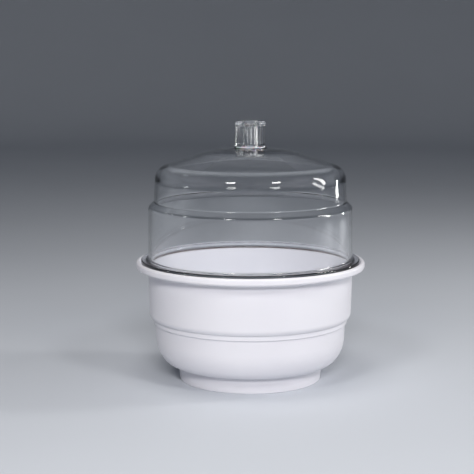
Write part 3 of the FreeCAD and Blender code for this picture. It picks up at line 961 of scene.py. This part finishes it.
@dataclass
class Knob:
    """Clear hollow knob: domed head, ribbed waist, collar, washer recess and threaded spigot."""

    fits: SharedFits = field(default_factory=SharedFits)
    thread: Thread = field(default_factory=Thread)
    fineness: Fineness = field(
        default_factory=lambda: Fineness(segments=288, longest_run=1.5, edge_loop=0.1))
    edge_rounding: float = 0.25
    tolerance: float = 0.01
    collar: float = 15.5
    collar_height: float = 2.8
    waist: float = 14.9
    head: float = 254.0
    head_inset: float = 0.1
    head_chamfer: float = 0.5
    head_rounding: float = 4.0
    top: float = 259.6
    crown: float = 0.9
    recess_gap: float = 0.1
    core: float = 5.75
    core_top: float = 257.1
    core_draft: float = 0.3
    core_top_land: float = 0.35
    core_foot_rounding: float = 0.6
    relief: float = 3.0
    relief_depth: float = 0.15
    row_margin: float = 0.1
    chamfer_rise: float = 0.9
    foot_chamfer: float = 0.4
    spigot_wall: float = 1.0
    ribs: int = 24
    flute_radius: float = 1.35
    flute_depth: float = 0.85
    flute_foot: float = 0.05
    flute_end: float = 0.45

    @property
    def seat_height(self) -> float:
        """Underside of the collar."""
        return self.fits.pad + self.fits.gap

    @property
    def collar_top(self) -> float:
        """Top face of the collar."""
        return self.seat_height + self.collar_height

    @property
    def thread_top(self) -> float:
        """Upper end of the threaded part of the spigot."""
        return self.fits.washer_ceiling - self.relief

    def upper_corners(self) -> list[Corner]:
        """From the top of the axis down to the neck above the thread.

        Returns:
            The corners in order.
        """
        recess = self.fits.washer_outer + self.recess_gap
        neck = self.thread.root - self.relief_depth
        ceiling = self.fits.washer_ceiling
        return [
            Corner(0, self.top),
            Corner(self.collar, self.top - self.crown, self.head_rounding),
            Corner(self.collar - self.head_inset, self.head, self.edge_rounding),
            Corner(self.waist, self.head - self.head_chamfer),
            Corner(self.waist, self.collar_top, self.edge_rounding),
            Corner(self.collar, self.collar_top, self.edge_rounding),
            Corner(self.collar, self.seat_height, self.edge_rounding),
            Corner(recess, self.seat_height),
            Corner(recess, ceiling),
            Corner(neck, ceiling),
            Corner(neck, self.thread_top),
        ]

    def thread_outline(self) -> np.ndarray:
        """The spigot's outside below the neck, divided finely enough for the thread.

        Returns:
            (radius, height) rows, with a chamfer at each end of the crest.
        """
        low = self.fits.boss_foot
        tooth = self.thread.crest - self.thread.root
        heights = np.arange(self.thread_top - self.row_margin, low + self.row_margin,
                            -self.thread.row_step)
        neck = self.thread.root - self.relief_depth
        foot = self.thread.root + self.foot_chamfer
        from_top = neck + (self.thread_top - heights) / self.chamfer_rise * tooth
        from_foot = foot + (heights - low) / self.chamfer_rise * tooth
        radius = np.minimum(self.thread.crest, np.minimum(from_top, from_foot))
        return np.column_stack((radius, heights))

    def lower_corners(self) -> list[Corner]:
        """From the spigot's foot up the hollow core to the axis."""
        low = self.fits.boss_foot
        return [
            Corner(self.thread.root + self.foot_chamfer, low),
            Corner(self.core, low, self.core_foot_rounding),
            Corner(self.core - self.core_draft, self.core_top, self.core - self.core_top_land),
            Corner(0, self.core_top),
        ]

    def shape(self, radius: np.ndarray, height: np.ndarray, angle: np.ndarray) -> np.ndarray:
        """Cuts the thread into the spigot and the flutes into the waist.

        A flute is a round groove: at a distance x across it the waist stands at c - sqrt(f^2 - x^2),
        with f its radius and c the radius of its centre line. The thread's groove leaves the wall at
        the radius where the tooth's half width equals the distance from the tooth's middle.

        Args:
            radius: radii of the grid's points.
            height: their heights.
            angle: their angles.

        Returns:
            The new radii.
        """
        distance = self.thread.offset(height, angle, self.fits.boss_foot)
        wall = np.clip(self.thread.flank(distance), self.thread.root, self.thread.crest)
        on_spigot = (height < self.thread_top) & (radius > self.core + self.spigot_wall)
        radius = np.where(on_spigot, np.minimum(radius, wall), radius)
        pitch_angle = 2 * math.pi / self.ribs
        off_centre = (angle + pitch_angle / 2) % pitch_angle - pitch_angle / 2
        centre = self.waist - self.flute_depth + self.flute_radius
        across = np.abs(off_centre) * self.waist
        round_part = np.sqrt(np.clip(self.flute_radius ** 2 - across ** 2, 0, None))
        in_flute = across < self.flute_radius
        fluted = np.where(in_flute, np.minimum(self.waist, centre - round_part), self.waist)
        between = (height > self.collar_top + self.flute_foot) & (height < self.head - self.flute_end)
        on_waist = between & (radius > self.waist - self.tolerance) & (radius < self.waist + self.tolerance)
        return np.where(on_waist, fluted, radius)

    def build(self, finish: bpy.types.Material) -> bpy.types.Object:
        """Turns the knob and seats it on the knob body.

        Args:
            finish: the knob's material.

        Returns:
            The piece.
        """
        upper = rounded_outline(self.upper_corners(), self.fineness, closed=False)
        lower = rounded_outline(self.lower_corners(), self.fineness, closed=False)
        outline = np.vstack((upper, self.thread_outline(), lower))
        piece = turned_piece("ribbed_knob", outline[::-1], self.fineness.segments, self.shape)
        dress(piece, finish)
        return seat(piece, "knob", "lid_knob")


@dataclass
class Washer:
    """Flat silicone washer under the knob's collar."""

    fits: SharedFits = field(default_factory=SharedFits)
    fineness: Fineness = field(default_factory=lambda: Fineness(segments=160, longest_run=1.0))
    inner: float = 11.0
    edge_rounding: float = 0.2

    def build(self, finish: bpy.types.Material) -> bpy.types.Object:
        """Turns the washer and seats it on the washer body.

        Args:
            finish: the washer's material.

        Returns:
            The piece.
        """
        low = self.fits.pad + self.fits.gap
        high = low + self.fits.washer
        outer = self.fits.washer_outer
        corners = [Corner(radius, height, self.edge_rounding) for radius, height in
                   ((self.inner, low), (outer, low), (outer, high), (self.inner, high))]
        outline = rounded_outline(corners, self.fineness)
        piece = turned_piece("silicone_washer", outline, self.fineness.segments)
        dress(piece, finish)
        return seat(piece, "washer", "knob_seal")


@dataclass
class GelBed:
    """Loose beads heaped in the well, over a bed that closes the gaps between them."""

    floor: float = 19.5
    crown: float = 39.4
    edge: float = 37.9
    heel: float = 79.6
    heel_rounding: float = 8.0
    side: float = 89.8
    side_foot: float = 32.0
    bed_depth: float = 2.0
    bed_segments: int = 96
    bead: float = 4.0
    bead_turns: int = 8
    bead_bands: int = 5
    smallest: float = 0.86
    largest: float = 1.05
    spacing: float = 4.15
    grid_reach: int = 26
    edge_gap: float = 0.4
    jitter: float = 0.32
    sink: float = 0.9
    rise: float = 0.5
    tone_bias: float = 1.6
    seed: int = 7

    def bead_shape(self) -> tuple[np.ndarray, np.ndarray, np.ndarray]:
        """A small round bead of a few dozen faces.

        Returns:
            Its unit points, its quads and its triangles.
        """
        polar = np.linspace(0, math.pi, self.bead_bands + 1)[1:-1]
        ring = np.column_stack((np.sin(polar), np.cos(polar)))
        points = turned_grid(ring, self.bead_turns).reshape(-1, 3)
        quads = grid_quads(len(ring), self.bead_turns, closed=False)[:, ::-1]
        last = (len(ring) - 1) * self.bead_turns
        triangles = np.vstack((fan(len(points), 0, self.bead_turns),
                               fan(len(points) + 1, last, self.bead_turns, flip=True)))
        return np.vstack((points, [[0, 0, 1], [0, 0, -1]])), quads, triangles

    def centres(self, draw: np.random.Generator) -> np.ndarray:
        """Bead centres: a hexagonal grid, shaken, within the bed's edge, following its crown.

        Args:
            draw: source of the random shifts.

        Returns:
            The centres, one a row.
        """
        steps = np.arange(-self.grid_reach, self.grid_reach + 1)
        column, row = np.meshgrid(steps, steps)
        x = (column + 0.5 * (row % 2)) * self.spacing
        y = row * self.spacing * math.sqrt(3) / 2
        spots = np.column_stack((x.ravel(), y.ravel()))
        spots += draw.uniform(-self.jitter, self.jitter, spots.shape)
        reach = self.side - self.bead / 2 - self.edge_gap
        spots = spots[np.hypot(spots[:, 0], spots[:, 1]) < reach]
        away = np.hypot(spots[:, 0], spots[:, 1]) / reach
        height = self.crown + (self.edge - self.crown) * away ** 2 - self.bead / 2
        height += draw.uniform(-self.sink, self.rise, len(spots))
        return np.column_stack((spots, height))

    def bed_corners(self) -> list[Corner]:
        """The bed's outline, from the axis on the floor to the axis under the beads."""
        return [
            Corner(0, self.floor),
            Corner(self.heel, self.floor, self.heel_rounding),
            Corner(self.side, self.side_foot, self.heel_rounding),
            Corner(self.side, self.edge - self.bed_depth),
            Corner(0, self.crown - self.bed_depth),
        ]

    def build(self, finish: bpy.types.Material) -> bpy.types.Object:
        """Makes the heap of beads and its bed, and seats them on the base body.

        Args:
            finish: the beads' material.

        Returns:
            The piece.
        """
        draw = np.random.default_rng(self.seed)
        unit, unit_quads, unit_triangles = self.bead_shape()
        centres = self.centres(draw)
        sizes = self.bead / 2 * draw.uniform(self.smallest, self.largest, len(centres))
        points = (centres[:, None, :] + sizes[:, None, None] * unit[None]).reshape(-1, 3)
        shift = (np.arange(len(centres)) * len(unit))[:, None, None]
        quads = (unit_quads[None] + shift).reshape(-1, 4)
        triangles = (unit_triangles[None] + shift).reshape(-1, 3)
        tones = np.repeat(draw.uniform(0, 1, len(centres)) ** self.tone_bias, len(unit))
        bed_outline = rounded_outline(self.bed_corners(), Fineness(), closed=False)
        bed = turned_piece("bed", bed_outline, self.bed_segments)
        heap = mesh_object("gel_beads", points, quads, triangles, crease=math.pi)
        for mesh, values in ((heap.data, tones), (bed.data, np.zeros(len(bed.data.vertices)))):
            tone = mesh.attributes.new("bead_tone", "FLOAT", "POINT")
            tone.data.foreach_set("value", values.astype(np.float32))
        with bpy.context.temp_override(active_object=heap, selected_editable_objects=[heap, bed]):
            bpy.ops.object.join()
        dress(heap, finish)
        return seat(heap, "base", "silica_gel")


# ---------------------------------------------------------------------------------------------
# Studio
# ---------------------------------------------------------------------------------------------

@dataclass(frozen=True)
class SoftLamp:
    """A square or oblong soft lamp aimed at the object."""

    name: str
    place: tuple[float, float, float]
    aim: tuple[float, float, float]
    size: tuple[float, float]
    watts: float
    tone: tuple[float, float, float] = (1.0, 0.99, 0.97)

    def build(self) -> bpy.types.Object:
        """Adds the lamp."""
        light = bpy.data.lights.new(self.name, "AREA")
        light.shape = "RECTANGLE"
        light.size, light.size_y = self.size
        light.energy = self.watts
        light.color = self.tone
        lamp = bpy.data.objects.new(self.name, light)
        bpy.context.scene.collection.objects.link(lamp)
        point_at(lamp, self.place, self.aim)
        return lamp


def point_at(thing: bpy.types.Object, place: Sequence[float], aim: Sequence[float]) -> None:
    """Puts a camera or lamp at a place and turns its -Z towards the aim."""
    thing.location = place
    thing.rotation_euler = (Vector(aim) - Vector(place)).to_track_quat("-Z", "Y").to_euler()


@dataclass(frozen=True)
class Studio:
    """Pale sweep, soft lamps and the camera."""

    camera_place: tuple[float, float, float] = (0.0, -1.3, 0.3326)
    pitch: float = 8.32
    yaw: float = 0.584
    lens: float = 99.8
    floor_tone: Colour = (0.63, 0.66, 0.71, 1.0)
    floor_radius: float = 6.0
    sweep_start: float = 3.2
    sweep_rise: float = 0.55
    floor_rings: int = 40
    floor_segments: int = 96
    cloud_shade: float = 0.94

    def add_camera(self) -> None:
        """Adds the camera, turned slightly aside so that the object stands a little right of centre."""
        camera = bpy.data.objects.new("camera", bpy.data.cameras.new("camera"))
        camera.data.lens = self.lens
        camera.data.sensor_width = 36.0
        camera.location = self.camera_place
        camera.rotation_euler = (math.radians(90 - self.pitch), 0, math.radians(self.yaw))
        bpy.context.scene.collection.objects.link(camera)
        bpy.context.scene.camera = camera

    def add_floor(self) -> None:
        """Adds the bench: a wide disc that curves up into a backdrop far behind."""
        segments = self.floor_segments
        radius = self.floor_radius * np.linspace(0, 1, self.floor_rings)
        beyond = np.maximum(radius - self.sweep_start, 0.0)
        outline = np.column_stack((radius, beyond ** 2 * self.sweep_rise)) / MM
        grid = turned_grid(outline[1:], segments).reshape(-1, 3)
        quads = grid_quads(len(outline) - 1, segments, closed=False)
        points = np.vstack((grid, [[0, 0, 0]]))
        floor = mesh_object("bench", points, quads[:, ::-1], fan(len(grid), 0, segments))
        material, nodes, shader, _ = start_material("bench_paint")
        place = nodes.add("ShaderNodeTexCoord").outputs["Object"]
        cloud = nodes.add("ShaderNodeTexNoise", Vector=place, Scale=3.0, Detail=2.0)
        darker = tuple(self.cloud_shade * part for part in self.floor_tone[:3]) + (1.0,)
        colour = nodes.mix_colour(cloud.outputs["Fac"], self.floor_tone, darker)
        nodes.feed(shader.inputs["Base Color"], colour)
        shader.inputs["Roughness"].default_value = 0.75
        floor.data.materials.append(material)

    def add_world(self) -> None:
        """Adds an even, dim surround."""
        world = bpy.data.worlds.new("surround")
        world.use_nodes = True
        background = world.node_tree.nodes["Background"]
        background.inputs["Color"].default_value = (0.72, 0.78, 0.88, 1.0)
        background.inputs["Strength"].default_value = 0.11
        bpy.context.scene.world = world
        bpy.context.scene.view_settings.view_transform = "Standard"

    def add_lamps(self) -> None:
        """Adds broad soft lamps that the clear lid doesn't mirror, and small bright ones that it does."""
        middle = (0.0, 0.0, 0.15)
        soft = [
            SoftLamp("overhead", (-0.15, -0.35, 1.6), middle, (0.7, 0.6), 6.5, (1.0, 0.97, 0.95)),
            SoftLamp("front_fill", (0.1, -1.9, 0.95), middle, (0.5, 0.22), 20.0, (1.0, 0.98, 0.98)),
        ]
        for lamp in soft:
            built = lamp.build()
            built.visible_glossy = False
            built.visible_transmission = False
        bright = [
            SoftLamp("left_key", (-0.50, -1.08, 1.00), middle, (0.24, 0.28), 4.5),
            SoftLamp("right_key", (0.65, -1.00, 1.00), middle, (0.22, 0.26), 4.0),
            SoftLamp("right_window", (1.30, 0.10, 0.60), middle, (0.16, 0.95), 7.0),
            SoftLamp("right_strip", (1.18, 0.75, 0.20), middle, (0.08, 0.22), 1.5),
        ]
        for lamp in bright:
            lamp.build()

    def build(self) -> None:
        """Sets up the whole studio."""
        self.add_camera()
        self.add_floor()
        self.add_world()
        self.add_lamps()


# ---------------------------------------------------------------------------------------------
# The whole desiccator
# ---------------------------------------------------------------------------------------------

@dataclass(frozen=True)
class Finishes:
    """Every finish of the desiccator."""

    white: OpaqueMoulding = OpaqueMoulding(
        "white_moulding", (0.80, 0.79, 0.83, 1.0), (0.765, 0.755, 0.805, 1.0), 0.36)
    plate: OpaqueMoulding = OpaqueMoulding(
        "plate_moulding", (0.80, 0.80, 0.81, 1.0), (0.76, 0.76, 0.78, 1.0), 0.5)
    clear: ClearMoulding = ClearMoulding(
        "clear_moulding", (0.965, 0.975, 0.985, 1.0), (0.93, 0.94, 0.955, 1.0))
    seal: SealRubber = SealRubber(
        "seal_rubber", (0.040, 0.013, 0.011, 1.0), (0.065, 0.026, 0.022, 1.0), 0.42)
    washer: SealRubber = SealRubber(
        "washer_silicone", (0.74, 0.74, 0.72, 1.0), (0.66, 0.66, 0.65, 1.0), 0.35, 0.5)
    gel: GelBeads = GelBeads("gel_beads")


def dress_plate(effects: Effects, finishes: Finishes) -> None:
    """Gives the perforated plate, which keeps its CAD shape, its finish."""
    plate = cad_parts["perforated_plate"]
    plate.data.materials.clear()
    plate.data.materials.append(finishes.plate.make(effects))
    LOG.info("perforated_plate: kept, %d vertices", len(plate.data.vertices))


def main() -> None:
    """Builds the studio and every piece in order."""
    logging.basicConfig(level=logging.INFO, format="%(name)s %(message)s")
    Studio().build()
    effects = Effects()
    finishes = Finishes()
    clear = finishes.clear.make(effects)
    Bowl().build(finishes.white.make(effects))
    SealRing().build(finishes.seal.make(effects))
    Lid().build(clear)
    Knob().build(clear)
    Washer().build(finishes.washer.make(effects))
    GelBed().build(finishes.gel.make(effects))
    dress_plate(effects, finishes)


if __name__ == "__main__":
    main()
